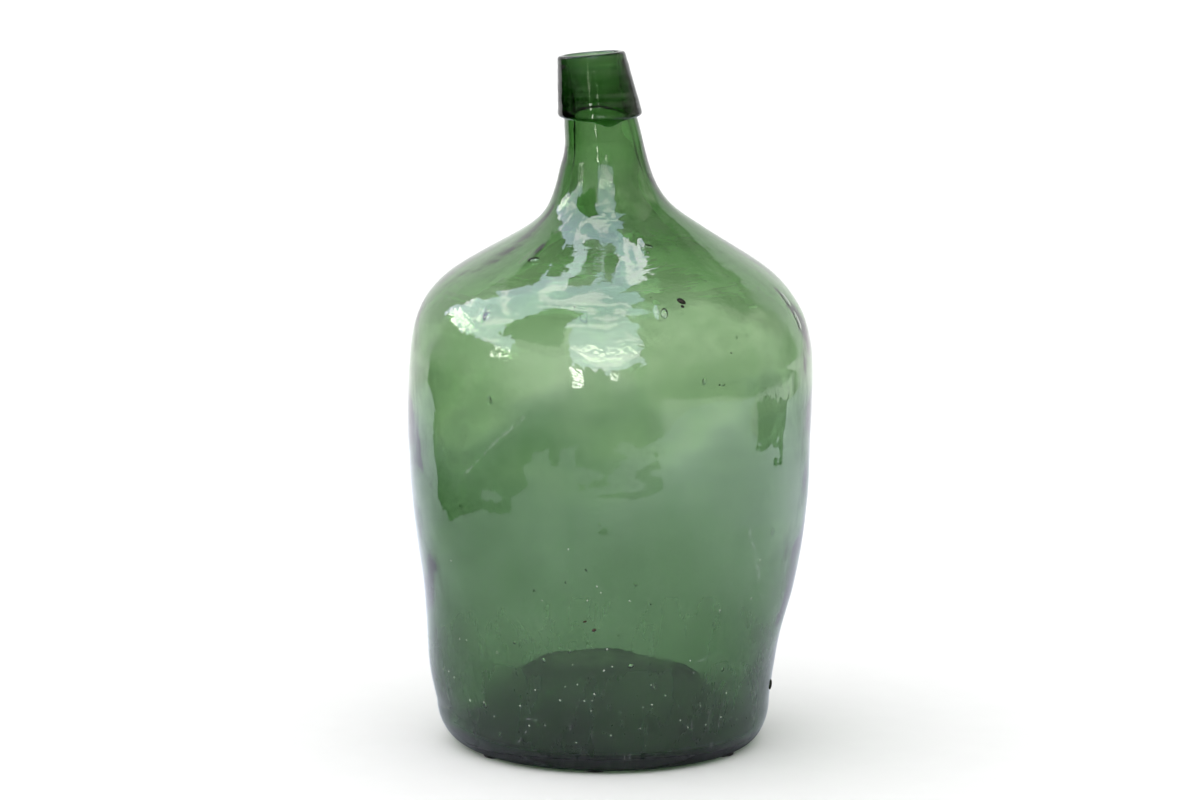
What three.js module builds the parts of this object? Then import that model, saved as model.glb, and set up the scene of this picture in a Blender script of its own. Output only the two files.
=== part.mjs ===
// Free-blown glass carboy (demijohn) with an applied, tooled lip and six rubber pads under its foot.
// Millimetres, +Z up. The origin is the middle of the carboy's bounding box, on the plane the pads
// stand on; -Y is the front. The glass is uneven: its two sides differ, its axis wanders and its
// neck leans towards -X. Vessel and lip share one fused seam around the top of the neck.
import * as THREE from "three";

// ---------------------------------------------------------------- frame and foot
// Angles named phi run round from +X towards +Y.
const SEGMENTS = 48; // facets around every glass ring
const FOOT_CENTRE = [-2.681, -0.576]; // X and Y; all dimensions below are taken from there
const PAD_H = 2.0;
const FOOT_Z = PAD_H; // underside of the glass foot
const FOOT_INNER_R = 72.6; // where the flat foot ring meets the push-up
const FOOT_OUTER_R = [88.0, 93.3]; // where it meets the heel, along X and along Y: a slight oval
const HEEL_TOP_Z = 26.0; // where the heel's curve becomes the side
const HEEL_ROUNDNESS = 1.2; // above 1 draws the heel in below a plain quarter ellipse
const HEEL_STEPS = [15, 30, 45, 60, 75]; // degrees along the heel's quarter turn

// ---------------------------------------------------------------- pads
const PAD_R = 7.0;
const PAD_SEGMENTS = 24;
const PAD_CIRCLE_R = 83.0; // circle the pads are stuck on
const PADS = {
  // degrees round from the front, positive towards +X; unevenly spaced
  rubber_pad_front: -4.4,
  rubber_pad_front_right: 57.5,
  rubber_pad_back_right: 117.0,
  rubber_pad_back: 177.0,
  rubber_pad_back_left: -119.5,
  rubber_pad_front_left: -53.5,
};
// Half section of a pad, from the middle of its underside round to the middle of its top: radius, z.
const PAD_EDGE = 0.7; // width of the bevel on the lower edge
const PAD_PROFILE = [
  [0, 0], [PAD_R - PAD_EDGE, 0], [PAD_R - 0.15, PAD_EDGE * 0.55], [PAD_R, PAD_EDGE * 1.2],
  [PAD_R, PAD_H - 0.3], [PAD_R - 0.25, PAD_H], [0, PAD_H],
];

// ---------------------------------------------------------------- side, shoulder and neck
// Outside: z, reach on the -X side, reach on the +X side, both from the foot centre's vertical.
const SIDE = [
  [16, 100.3, 99.1], [26, 103.1, 99.6], [38, 105.7, 101.0], [50, 107.7, 102.6],
  [62, 108.6, 104.9], [74, 109.3, 108.0], [86, 109.9, 111.6], [100, 111.1, 115.1],
  [116, 113.3, 118.1], [132, 115.5, 120.4], [150, 117.4, 122.2], [170, 118.7, 123.2],
  [190, 119.7, 124.0], [210, 120.1, 124.9], [225, 119.7, 125.5], [238, 118.7, 125.0],
  [250, 117.0, 123.0], [260, 114.5, 120.1], [268, 111.4, 116.2], [275, 107.4, 111.6],
  [281, 102.3, 106.4], [287, 95.6, 100.1], [293, 86.6, 92.3], [299, 76.1, 83.1],
  [305, 65.2, 73.8], [311, 54.0, 64.4], [318, 43.4, 54.0], [326, 36.1, 42.2],
  [335, 32.1, 34.0], [345, 29.2, 28.6], [355, 27.1, 25.3], [365, 25.9, 22.4],
  [375, 25.2, 19.8], [384, 24.8, 18.1],
];
// Where the axis wanders off the vertical: z, offset in X, offset in Y.
const AXIS = [
  [0, 0, 0], [60, -0.3, 0], [120, 1.5, 0.4], [200, 2.6, 0.6], [280, 2.9, 0.4],
  [300, 2.7, 0.2], [330, 1.2, -0.1], [384, -3.8, -0.6],
];
// Wall: z, thickness square to the outside.
const WALL = [
  [16, 6.2], [30, 5.6], [60, 5.0], [100, 4.6], [150, 4.2], [200, 3.5], [240, 3.2], [280, 3.9],
  [310, 5.2], [340, 6.8], [358, 6.8], [372, 6.4],
];
// Heights of the rings that make the wall; the inside stops at INSIDE_TOP_Z, where the bore begins.
const INSIDE_TOP_Z = 361;
const SIDE_RINGS = [
  HEEL_TOP_Z, 38, 50, 62, 76, 90, 108, 130, 155, 182, 208, 226, 240, 252, 262, 270, 277,
  283, 289, 295, 301, 307, 313, 320, 328, 338, 350, INSIDE_TOP_Z, 368,
];
const SIDE_BLEND = 4; // power of the cosine that fades each side's own reach out towards Y
const LEAN_Z = [318, 382]; // the ring planes tip over this height, from level to the lip's foot tilt

// Hollows (-) and swellings (+): phi in degrees, z, depth, spread in degrees, spread in z.
const DENTS = [
  [228, 96, -2.2, 24, 30], [302, 176, 1.3, 28, 46], [82, 124, -2.6, 27, 36],
  [132, 214, 1.4, 26, 34], [266, 262, -1.0, 22, 18], [48, 58, 1.3, 22, 24],
];
const DIAGONAL_SWELL = 1.0; // outwards at 45 and 225 degrees, inwards at 135 and 315
const UNEVEN_FADE_IN_Z = [14, 50];
const UNEVEN_FADE_OUT_Z = [285, 318];

// ---------------------------------------------------------------- base
// Push-up under the base, from the middle out: radius, z.
const PUNT_TOP_Z = 44.2;
const PUNT = [[18, 43.2], [38, 39.4], [52, 31.8], [62, 20.2], [68, 8.8], [71.2, 3.6]];
// Inside of the base, from the side wall in to the middle: radius, z.
const FLOOR = [
  [95, 19.5], [93, 13.6], [89.5, 10], [85.5, 9.2], [81.5, 12.2], [76.5, 20], [69, 30.8],
  [57, 39.8], [38, 46.8], [18, 49.8],
];
const FLOOR_TOP_Z = 50.6;

// ---------------------------------------------------------------- lip
// The lip has its own leaning axis: s is the distance along it from LIP_BASE.
const LIP_BASE = new THREE.Vector3(-3.55, -0.6, 383.2);
const LIP_AXIS = new THREE.Vector3(-0.146, 0.02, 0.988).normalize();
const LIP_H = 37.0;
const LIP_TILT_X = [1.2, 4.8]; // degrees the ring planes rise towards +X, at the lip's foot and top
const LIP_TILT_Y = [2.5, -2.6]; // the same towards +Y

// Neck's outside up to its end inside the lip: s, radius.
const NECK_IN_LIP = [
  [-12, 23.0], [-8, 22.6], [-2.8, 22.0], [2, 21.3], [12, 20.4], [22, 19.4], [31.5, 18.5],
];
// Bore, up to the neck's end: s, radius.
const BORE = [[-9.6, 16.5], [-3, 15.6], [4, 14.9], [14, 14.7], [24, 15.2], [31.5, 16.0]];

// Lip's own surface, from the bore over the top and down: radius, s, share of the drip it drops by.
const LIP_SURFACE = [
  [16.0, LIP_H - 2.6, 0], [16.3, LIP_H - 1.1, 0], [17.0, LIP_H, 0], [18.8, LIP_H, 0],
  [19.75, LIP_H - 0.4, 0], [20.4, LIP_H - 1.5, 0], [20.7, LIP_H - 3.0, 0], [22.45, 22, 0],
  [23.85, 12, 0], [25.0, 3.2, 0], [25.35, 1.2, 0], [25.05, 0, 0.08], [23.7, -0.75, 0.55],
];
// Its last ring lies just off the neck. The gap and the drop both grow with the drip.
const LIP_LAST_RING = { s: -1.02, drop: 0.95, gap: 0.45, gapGrowth: 0.2 };
const CONTACT_S = -1.1; // where the lip's lower edge meets the neck, away from the drip

// Extra lip glass that ran down the neck.
const DRIP_AT = 283; // degrees round from +X
const DRIP_SPREAD = 19; // degrees
const DRIP_LENGTH = 3.2;

// ---------------------------------------------------------------- curves and angles
const { degToRad, radToDeg } = THREE.MathUtils;

// Monotone cubic interpolation through a table's first column and one other, held flat past its ends.
function curve(rows, column = 1) {
  const x = rows.map((row) => row[0]);
  const y = rows.map((row) => row[column]);
  const last = rows.length - 1;
  const chords = [];
  for (let i = 0; i < last; i++) chords.push((y[i + 1] - y[i]) / (x[i + 1] - x[i]));

  const slopes = x.map((_, i) => {
    if (i === 0) return chords[0];
    if (i === last) return chords[last - 1];
    if (chords[i - 1] * chords[i] <= 0) return 0;
    const before = x[i] - x[i - 1];
    const after = x[i + 1] - x[i];
    const weightBefore = 2 * after + before;
    const weightAfter = after + 2 * before;
    return (weightBefore + weightAfter) / (weightBefore / chords[i - 1] + weightAfter / chords[i]);
  });

  return (at) => {
    if (at <= x[0]) return y[0];
    if (at >= x[last]) return y[last];
    let i = 0;
    while (at > x[i + 1]) i++;
    const step = x[i + 1] - x[i];
    const u = (at - x[i]) / step;
    return (
      y[i] * (1 + 2 * u) * (1 - u) ** 2 + step * slopes[i] * u * (1 - u) ** 2 +
      y[i + 1] * u * u * (3 - 2 * u) + step * slopes[i + 1] * u * u * (u - 1)
    );
  };
}

const clampShare = (value) => Math.min(1, Math.max(0, value));

// Eases from 0 to 1 between two values.
function smooth([from, to], at) {
  const u = clampShare((at - from) / (to - from));
  return u * u * (3 - 2 * u);
}

// Signed degrees from a direction to phi, within half a turn.
const degreesFrom = (direction, phi) => (((radToDeg(phi) - direction) % 360) + 540) % 360 - 180;

const reachLeft = curve(SIDE, 1);
const reachRight = curve(SIDE, 2);
const axisX = curve(AXIS, 1);
const axisY = curve(AXIS, 2);
const wallThickness = curve(WALL);
const neckRadius = curve(NECK_IN_LIP);
const meanRadius = (z) => (reachLeft(z) + reachRight(z)) / 2;
const drip = (phi) => DRIP_LENGTH * Math.exp(-((degreesFrom(DRIP_AT, phi) / DRIP_SPREAD) ** 2));

// ---------------------------------------------------------------- points of the glass
// Height that a tilted ring plane gains at x, y from its centre; share runs from lip foot to lip top.
function tiltRise(share, x, y) {
  const slope = ([foot, top]) => Math.tan(degToRad(foot + share * (top - foot)));
  return slope(LIP_TILT_X) * x + slope(LIP_TILT_Y) * y;
}

function unevenness(phi, z) {
  let offset = DIAGONAL_SWELL * Math.sin(2 * phi);
  for (const [direction, height, depth, spread, rise] of DENTS) {
    const turn = degreesFrom(direction, phi) / spread;
    offset += depth * Math.exp(-(turn ** 2) - ((z - height) / rise) ** 2);
  }
  return offset * smooth(UNEVEN_FADE_IN_Z, z) * (1 - smooth(UNEVEN_FADE_OUT_Z, z));
}

// A point of the wall: radius is the surface's mean there, outsideZ the height of the outside it
// belongs to, z its own height.
function sidePoint(phi, radius, outsideZ, z) {
  const cos = Math.cos(phi);
  const mean = meanRadius(outsideZ);
  const centreX = axisX(outsideZ);
  const extraRight = reachRight(outsideZ) - centreX - mean;
  const extraLeft = reachLeft(outsideZ) + centreX - mean;
  const out =
    radius + extraRight * Math.max(0, cos) ** SIDE_BLEND +
    extraLeft * Math.max(0, -cos) ** SIDE_BLEND + unevenness(phi, outsideZ);
  const x = out * cos;
  const y = out * Math.sin(phi);
  const rise = smooth(LEAN_Z, outsideZ) * tiltRise(0, x, y);
  return new THREE.Vector3(centreX + x, axisY(outsideZ) + y, z + rise);
}

// A point of the lip or of the neck inside it.
function lipPoint(phi, radius, s) {
  const x = radius * Math.cos(phi);
  const y = radius * Math.sin(phi);
  const offset = new THREE.Vector3(x, y, tiltRise(clampShare(s / LIP_H), x, y));
  return LIP_BASE.clone().addScaledVector(LIP_AXIS, s).add(offset);
}

// The foot's oval outer edge.
function footEdge(phi, z) {
  const cos = Math.cos(phi);
  const sin = Math.sin(phi);
  const radius = 1 / Math.hypot(cos / FOOT_OUTER_R[0], sin / FOOT_OUTER_R[1]);
  return new THREE.Vector3(radius * cos, radius * sin, z);
}

// ---------------------------------------------------------------- rings and lofting
const ring = (pointAt) =>
  Array.from({ length: SEGMENTS }, (_, i) => pointAt((i * 2 * Math.PI) / SEGMENTS));
const levelRing = ([radius, z]) =>
  ring((phi) => new THREE.Vector3(radius * Math.cos(phi), radius * Math.sin(phi), z));
const lipRing = (radius, s) => ring((phi) => lipPoint(phi, radius, s));

// A closed surface through rings in turn. Single points at both ends close it there; otherwise the
// last ring joins the first.
function loft(rings) {
  const points = rings.flat();
  const starts = [];
  let count = 0;
  for (const each of rings) {
    starts.push(count);
    count += each.length;
  }

  const triangles = [];
  const bands = rings.length - (rings[0].length === 1 ? 1 : 0);
  for (let k = 0; k < bands; k++) {
    const next = (k + 1) % rings.length;
    const a = starts[k];
    const b = starts[next];
    for (let i = 0; i < SEGMENTS; i++) {
      const j = (i + 1) % SEGMENTS;
      if (rings[k].length === 1) triangles.push([a, b + j, b + i]);
      else if (rings[next].length === 1) triangles.push([a + i, a + j, b]);
      else triangles.push([a + i, a + j, b + j], [a + i, b + j, b + i]);
    }
  }

  // A negative volume means the faces point inwards, so they are turned over.
  let volume = 0;
  for (const [a, b, c] of triangles) {
    volume += points[a].dot(points[b].clone().cross(points[c]));
  }
  const facing = volume < 0 ? triangles.map(([a, b, c]) => [a, c, b]) : triangles;

  const geometry = new THREE.BufferGeometry().setFromPoints(points);
  geometry.setIndex(facing.flat());
  geometry.computeVertexNormals();
  return geometry;
}

// ---------------------------------------------------------------- seam, used by both glass bodies
// Up the neck's outside from the lip's lower edge, then in across the neck's end to the bore.
function seamRings() {
  const contact = ring((phi) => {
    const s = CONTACT_S - drip(phi);
    return lipPoint(phi, neckRadius(s), s);
  });
  const covered = NECK_IN_LIP.filter(([s]) => s > 0);
  const [boreEndS, boreEndR] = BORE.at(-1);
  return [contact, ...covered.map(([s, radius]) => lipRing(radius, s)), lipRing(boreEndR, boreEndS)];
}

// ---------------------------------------------------------------- vessel
// A quarter ellipse, drawn in, from the foot's edge to the side.
function heelRing(degrees) {
  const turn = degToRad(degrees);
  const z = FOOT_Z + (HEEL_TOP_Z - FOOT_Z) * (1 - Math.cos(turn));
  return ring((phi) => {
    const top = sidePoint(phi, meanRadius(HEEL_TOP_Z), HEEL_TOP_Z, HEEL_TOP_Z);
    return footEdge(phi, 0).lerp(top, Math.sin(turn) ** HEEL_ROUNDNESS).setZ(z);
  });
}

const outsideRing = (z) => ring((phi) => sidePoint(phi, meanRadius(z), z, z));

// The outside ring at z, moved in square to the surface by the wall's thickness.
function insideRing(z) {
  const slope = meanRadius(z + 0.5) - meanRadius(z - 0.5);
  const inset = wallThickness(z) / Math.hypot(1, slope);
  return ring((phi) => sidePoint(phi, meanRadius(z) - inset, z, z + inset * slope));
}

// Push-up, foot, heel, side and neck, then back down the inside to the floor.
function vesselGeometry() {
  return loft([
    [new THREE.Vector3(0, 0, PUNT_TOP_Z)],
    ...PUNT.map(levelRing),
    levelRing([FOOT_INNER_R, FOOT_Z]),
    ring((phi) => footEdge(phi, FOOT_Z)),
    ...HEEL_STEPS.map(heelRing),
    ...SIDE_RINGS.map(outsideRing),
    ...seamRings(),
    ...BORE.slice(0, -1).reverse().map(([s, radius]) => lipRing(radius, s)),
    ...SIDE_RINGS.filter((z) => z <= INSIDE_TOP_Z).reverse().map(insideRing),
    ...FLOOR.map(levelRing),
    [new THREE.Vector3(0, 0, FLOOR_TOP_Z)],
  ]);
}

// ---------------------------------------------------------------- applied lip
// A tooled cone that covers the neck's end, with a run of glass under it.
function lipGeometry() {
  const surface = LIP_SURFACE.map(([radius, s, share]) =>
    ring((phi) => lipPoint(phi, radius, s - share * drip(phi))));
  const lastRing = ring((phi) => {
    const s = LIP_LAST_RING.s - LIP_LAST_RING.drop * drip(phi);
    const gap = LIP_LAST_RING.gap + LIP_LAST_RING.gapGrowth * drip(phi);
    return lipPoint(phi, neckRadius(s) + gap, s);
  });
  return loft([...seamRings(), ...surface, lastRing]);
}

// ---------------------------------------------------------------- pad
function padGeometry() {
  const profile = PAD_PROFILE.map(([radius, z]) => new THREE.Vector2(radius, z));
  return new THREE.LatheGeometry(profile, PAD_SEGMENTS).rotateX(Math.PI / 2);
}

// ---------------------------------------------------------------- materials
const greenGlass = new THREE.MeshStandardMaterial({
  name: "green_glass", color: 0x5f8f55, roughness: 0.06, metalness: 0,
  transparent: true, opacity: 0.55,
});
const lipGlass = new THREE.MeshStandardMaterial({
  name: "green_glass_thick", color: 0x2c4a24, roughness: 0.06, metalness: 0,
  transparent: true, opacity: 0.8,
});
const rubber = new THREE.MeshStandardMaterial({
  name: "black_rubber", color: 0x161616, roughness: 0.75, metalness: 0,
});

// ---------------------------------------------------------------- scene graph
function namedMesh(name, geometry, material) {
  const mesh = new THREE.Mesh(geometry, material);
  mesh.name = name;
  return mesh;
}

const glass = new THREE.Group();
glass.position.set(...FOOT_CENTRE, 0);
glass.add(
  namedMesh("glass_vessel", vesselGeometry(), greenGlass),
  namedMesh("applied_lip", lipGeometry(), lipGlass),
);

const pads = new THREE.Group();
pads.position.set(...FOOT_CENTRE, 0);
for (const [name, degrees] of Object.entries(PADS)) {
  const turn = degToRad(degrees);
  const pad = namedMesh(name, padGeometry(), rubber);
  pad.position.set(PAD_CIRCLE_R * Math.sin(turn), -PAD_CIRCLE_R * Math.cos(turn), 0);
  pad.rotation.z = turn;
  pads.add(pad);
}

const carboy = new THREE.Group();
carboy.name = "carboy";
carboy.add(glass, pads);

export default carboy;
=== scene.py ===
# Glass carboy: a blown green vessel, its applied lip and the rubber pads under its foot, put in
# place of the CAD pieces, on a sheet of white paper. Metres, +Z up, -Y is the front.
# The shape tables are in mm from the centre of the foot, and are turned to metres in the meshes.
import functools
import math
from types import SimpleNamespace

import bpy
import numpy as np
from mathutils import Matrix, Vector


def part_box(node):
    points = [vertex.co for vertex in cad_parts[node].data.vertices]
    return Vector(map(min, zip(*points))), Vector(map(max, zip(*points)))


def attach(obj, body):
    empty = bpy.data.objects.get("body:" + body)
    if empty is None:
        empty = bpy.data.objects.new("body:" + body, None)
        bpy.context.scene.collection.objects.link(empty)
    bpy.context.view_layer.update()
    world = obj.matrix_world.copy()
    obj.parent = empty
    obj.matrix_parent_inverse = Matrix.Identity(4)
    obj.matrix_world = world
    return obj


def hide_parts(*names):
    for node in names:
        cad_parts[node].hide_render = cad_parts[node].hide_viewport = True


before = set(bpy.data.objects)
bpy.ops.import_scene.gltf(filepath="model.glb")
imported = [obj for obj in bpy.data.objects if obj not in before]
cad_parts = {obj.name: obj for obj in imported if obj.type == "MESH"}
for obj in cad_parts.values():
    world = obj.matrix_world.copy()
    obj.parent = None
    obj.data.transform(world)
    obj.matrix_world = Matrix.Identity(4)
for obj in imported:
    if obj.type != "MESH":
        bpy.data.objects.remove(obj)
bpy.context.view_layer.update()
wave_rng = np.random.default_rng(1879)

DEG = math.pi / 180
SEGMENTS = 192
ANGLES = np.arange(SEGMENTS) * 2 * math.pi / SEGMENTS

# ------------------------------------------------------------------ shape tables, mm
# side: height, reach to the left (-X), reach to the right (+X)
SIDE = np.array([
    (16, 100.3, 99.1), (26, 103.1, 99.6), (38, 105.7, 101.0), (50, 107.7, 102.6),
    (62, 108.6, 104.9), (74, 109.3, 108.0), (86, 109.9, 111.6), (100, 111.1, 115.1),
    (116, 113.3, 118.1), (132, 115.5, 120.4), (150, 117.4, 122.2), (170, 118.7, 123.2),
    (190, 119.7, 124.0), (210, 120.1, 124.9), (225, 119.7, 125.5), (238, 118.7, 125.0),
    (250, 117.0, 123.0), (260, 114.5, 120.1), (268, 111.4, 116.2), (275, 107.4, 111.6),
    (281, 102.3, 106.4), (287, 95.6, 100.1), (293, 86.6, 92.3), (299, 76.1, 83.1),
    (305, 65.2, 73.8), (311, 54.0, 64.4), (318, 43.4, 54.0), (326, 36.1, 42.2),
    (335, 32.1, 34.0), (345, 29.2, 28.6), (355, 27.1, 25.3), (365, 25.9, 22.4),
    (375, 25.2, 19.8), (384, 24.8, 18.1)])
# centre line: height, x, y
CENTRE_LINE = np.array([
    (0, 0, 0), (60, -0.3, 0), (120, 1.5, 0.4), (200, 2.6, 0.6), (280, 2.9, 0.4),
    (300, 2.7, 0.2), (330, 1.2, -0.1), (384, -3.8, -0.6)])
# wall: height, thickness
WALL = np.array([
    (16, 6.2), (30, 5.6), (60, 5.0), (100, 4.6), (150, 4.2), (200, 3.5), (240, 3.2), (280, 3.9),
    (310, 5.2), (340, 6.8), (358, 6.8), (372, 6.4)])
# push-up under the foot and floor inside: radius, height
PUNT = np.array([
    (0, 44.2), (18, 43.2), (38, 39.4), (52, 31.8), (62, 20.2), (68, 8.8), (71.2, 3.6), (72.6, 2)])
FLOOR = np.array([
    (95, 19.5), (93, 13.6), (89.5, 10), (85.5, 9.2), (81.5, 12.2), (76.5, 20), (69, 30.8),
    (57, 39.8), (38, 46.8), (18, 49.8), (0, 50.6)])
FOOT_INNER_R, FOOT_Z = PUNT[-1]
FOOT_OUTER_R = (88.0, 93.3)  # along x, along y
HEEL_TOP_Z, HEEL_ROUNDNESS = 26.0, 1.2
TOP_RING_Z = 369.0  # the highest ring laid out by height; above it rings follow the lip's axis

# dents and swellings: degrees round, height, depth (negative is inward), spread in degrees, rise
DENTS = [
    (228, 96, -2.2, 24, 30), (302, 176, 1.3, 28, 46), (82, 124, -2.6, 27, 36),
    (132, 214, 1.4, 26, 34), (266, 262, -1.0, 22, 18), (48, 58, 1.3, 22, 24)]

# the lip leans on its own axis, and its rings tilt further from bottom to top
LIP_BASE = np.array([-3.55, -0.6, 383.2])
LIP_AXIS = np.array([-0.146, 0.02, 0.988])
LIP_AXIS /= np.linalg.norm(LIP_AXIS)
LIP_HEIGHT = 37.0
LIP_TILT_X, LIP_TILT_Y = (1.2, 4.8), (2.5, -2.6)  # degrees at the bottom, at the top
# neck inside the lip, and bore: distance along the lip's axis, radius
NECK_IN_LIP = np.array([
    (-12, 23.0), (-8, 22.6), (-2.8, 22.0), (2, 21.3), (12, 20.4), (22, 19.4), (31.5, 18.5)])
NECK_END = NECK_IN_LIP[-1, 0]
BORE = np.array([(-9.6, 16.5), (-3, 15.6), (4, 14.9), (14, 14.7), (24, 15.2), (31.5, 16.0)])
DRIP_AT, DRIP_SPREAD, DRIP_LENGTH = 283.0, 19.0, 3.2  # degrees, degrees, mm
FUSED_GAP = 0.03  # between the two fused bodies, so that a ray meets one face at a time


def foot_centre():
    """The centre of the circle the CAD pads stand on, in mm."""
    centres = []
    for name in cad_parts:
        if name.startswith("rubber_pad"):
            low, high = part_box(name)
            centres.append(((low.x + high.x) / 2, (low.y + high.y) / 2))
    centres = np.array(centres)
    terms = np.c_[2 * centres, np.ones(len(centres))]
    return np.linalg.lstsq(terms, (centres ** 2).sum(1), rcond=None)[0][:2] * 1000


FOOT_CENTRE = foot_centre()
FOOT_X, FOOT_Y = FOOT_CENTRE / 1000  # metres


# ------------------------------------------------------------------ curves
def pchip(x, y, at):
    """A curve through the points (x, y) that doesn't overshoot, going on straight past its ends."""
    x, y, at = np.asarray(x, float), np.asarray(y, float), np.asarray(at, float)
    slopes = np.diff(y) / np.diff(x)
    tangents = np.zeros(len(x))
    tangents[0], tangents[-1] = slopes[0], slopes[-1]
    for i in range(1, len(x) - 1):
        if slopes[i - 1] * slopes[i] > 0:
            before, after = x[i] - x[i - 1], x[i + 1] - x[i]
            weight_in, weight_out = 2 * after + before, after + 2 * before
            tangents[i] = ((weight_in + weight_out)
                           / (weight_in / slopes[i - 1] + weight_out / slopes[i]))
    i = np.clip(np.searchsorted(x, at) - 1, 0, len(x) - 2)
    gap = x[i + 1] - x[i]
    part = (at - x[i]) / gap
    curve = (y[i] * (1 + 2 * part) * (1 - part) ** 2
             + gap * tangents[i] * part * (1 - part) ** 2
             + y[i + 1] * part * part * (3 - 2 * part)
             + gap * tangents[i + 1] * part * part * (part - 1))
    curve = np.where(at < x[0], y[0] + tangents[0] * (at - x[0]), curve)
    return np.where(at > x[-1], y[-1] + tangents[-1] * (at - x[-1]), curve)


def gauss(values, sigma):
    """The values smoothed by a Gaussian of sigma samples, with the ends held in place."""
    reach = int(4 * sigma) + 1
    kernel = np.exp(-0.5 * (np.arange(-reach, reach + 1) / sigma) ** 2)
    kernel /= kernel.sum()
    padded = np.concatenate([
        2 * values[0] - values[reach:0:-1], values, 2 * values[-1] - values[-2:-reach - 2:-1]])
    return np.convolve(padded, kernel, "valid")


STEP = 0.25  # mm between the samples of a curve


class Smooth:
    """A table column as a curve with no kinks in its slope, so that reflections run smoothly."""

    def __init__(self, rows, column=1, sigma=3.0, span=(-20.0, 420.0)):
        self.x = np.arange(*span, STEP)
        self.y = gauss(pchip(rows[:, 0], rows[:, column], self.x), sigma / STEP)

    def __call__(self, at):
        return np.interp(at, self.x, self.y)


left_reach, right_reach = Smooth(SIDE, 1), Smooth(SIDE, 2)
centre_x, centre_y = Smooth(CENTRE_LINE, 1, sigma=8.0), Smooth(CENTRE_LINE, 2, sigma=8.0)
wall_thickness = Smooth(WALL, sigma=8.0)
neck_radius = Smooth(NECK_IN_LIP, sigma=1.5, span=(-40, 60))
bore_radius = Smooth(BORE, sigma=1.5, span=(-40, 60))


def mean_radius(z):
    return (left_reach(z) + right_reach(z)) / 2


def smoothstep(start, end, value):
    part = np.clip((np.asarray(value, float) - start) / (end - start), 0, 1)
    return part * part * (3 - 2 * part)


def degrees_from(angle, place):
    """Signed degrees round from the place, given in degrees, to the angle, in radians."""
    return ((angle / DEG - place) % 360 + 540) % 360 - 180


def unevenness(angle, z):
    """The side's ovalness and dents, in mm outward."""
    bulge = np.sin(2 * angle)
    for place, height, depth, spread, rise in DENTS:
        bulge = bulge + depth * np.exp(
            -(degrees_from(angle, place) / spread) ** 2 - ((z - height) / rise) ** 2)
    return bulge * smoothstep(14, 50, z) * (1 - smoothstep(285, 318, z))


def slow_waves(rows):
    """The waviness of hand-blown glass: sines round and up the wall, in mm. Each row is a number
    of sines, their fewest and most turns round, shortest and longest wavelength up, and size."""
    sines = [
        (int(wave_rng.integers(fewest, most + 1)),
         wave_rng.uniform(shortest, longest) * wave_rng.choice([-1, 1]),
         wave_rng.uniform(0, 2 * math.pi), size * wave_rng.uniform(0.5, 1.0))
        for count, fewest, most, shortest, longest, size in rows for _ in range(count)]

    def waves(angle, z):
        total = 0.0
        for turns, wavelength, phase, size in sines:
            total = total + size * np.sin(turns * angle + 2 * math.pi * z / wavelength + phase)
        return total
    return waves


outer_waves = slow_waves([
    (6, 2, 9, 60, 160, 0.10), (8, 8, 22, 30, 90, 0.035), (8, 1, 5, 14, 40, 0.018)])
inner_waves = slow_waves([
    (6, 2, 8, 60, 180, 0.16), (8, 6, 18, 30, 100, 0.05), (6, 1, 5, 16, 50, 0.03)])


def side_point(angle, radius, side_z, z, bump):
    """Points at height z, shaped as the side is at side_z, tilting with the neck near the top."""
    cos, sin = np.cos(angle), np.sin(angle)
    mean, x0 = mean_radius(side_z), centre_x(side_z)
    out = (radius + (right_reach(side_z) - x0 - mean) * np.maximum(0, cos) ** 4
           + (left_reach(side_z) + x0 - mean) * np.maximum(0, -cos) ** 4
           + unevenness(angle, side_z) + bump)
    lean = smoothstep(318, 382, side_z)
    tilt = math.tan(LIP_TILT_X[0] * DEG) * cos + math.tan(LIP_TILT_Y[0] * DEG) * sin
    return np.stack([x0 + out * cos, centre_y(side_z) + out * sin, z + lean * out * tilt], -1)


def lip_point(radius, along):
    """A ring round the lip's axis, at a distance along it."""
    along = np.asarray(along, float) + 0 * ANGLES
    part = np.clip(along / LIP_HEIGHT, 0, 1)
    tilt_x, tilt_y = (np.tan((bottom + part * (top - bottom)) * DEG)
                      for bottom, top in (LIP_TILT_X, LIP_TILT_Y))
    x, y = radius * np.cos(ANGLES), radius * np.sin(ANGLES)
    base = LIP_BASE + along[..., None] * LIP_AXIS
    return np.stack([
        base[..., 0] + x, base[..., 1] + y, base[..., 2] + tilt_x * x + tilt_y * y], -1)


def along_lip(z):
    return (z - LIP_BASE[2]) / LIP_AXIS[2]


def flat_ring(radius, z):
    return np.stack([radius * np.cos(ANGLES), radius * np.sin(ANGLES), z + 0 * ANGLES], -1)


def resample(points, spacing, sigma):
    """A (radius, height) polyline at an even spacing, rounded a little."""
    points = np.asarray(points, float)
    run = np.r_[0, np.cumsum(np.hypot(*np.diff(points, axis=0).T))]
    fine = np.arange(0, run[-1] + STEP, STEP)
    radius, z = (gauss(pchip(run, points[:, column], fine), sigma / STEP) for column in (0, 1))
    count = max(2, int(round(run[-1] / spacing)))
    pick = np.linspace(0, len(fine) - 1, count + 1).round().astype(int)
    return np.c_[radius[pick], z[pick]]


DRIP = DRIP_LENGTH * np.exp(-(degrees_from(ANGLES, DRIP_AT) / DRIP_SPREAD) ** 2)
CONTACT = -1.1 - DRIP  # the wavy line where the lip's glass begins, along the lip's axis
STRAIGHT_FROM = 2.0  # above here the fused rings are even
FUSED_RINGS = [CONTACT + (STRAIGHT_FROM - CONTACT) * part for part in (0, 0.25, 0.5, 0.75, 1.0)]
FUSED_RINGS += list(np.linspace(STRAIGHT_FROM, NECK_END, 13)[1:])
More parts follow.
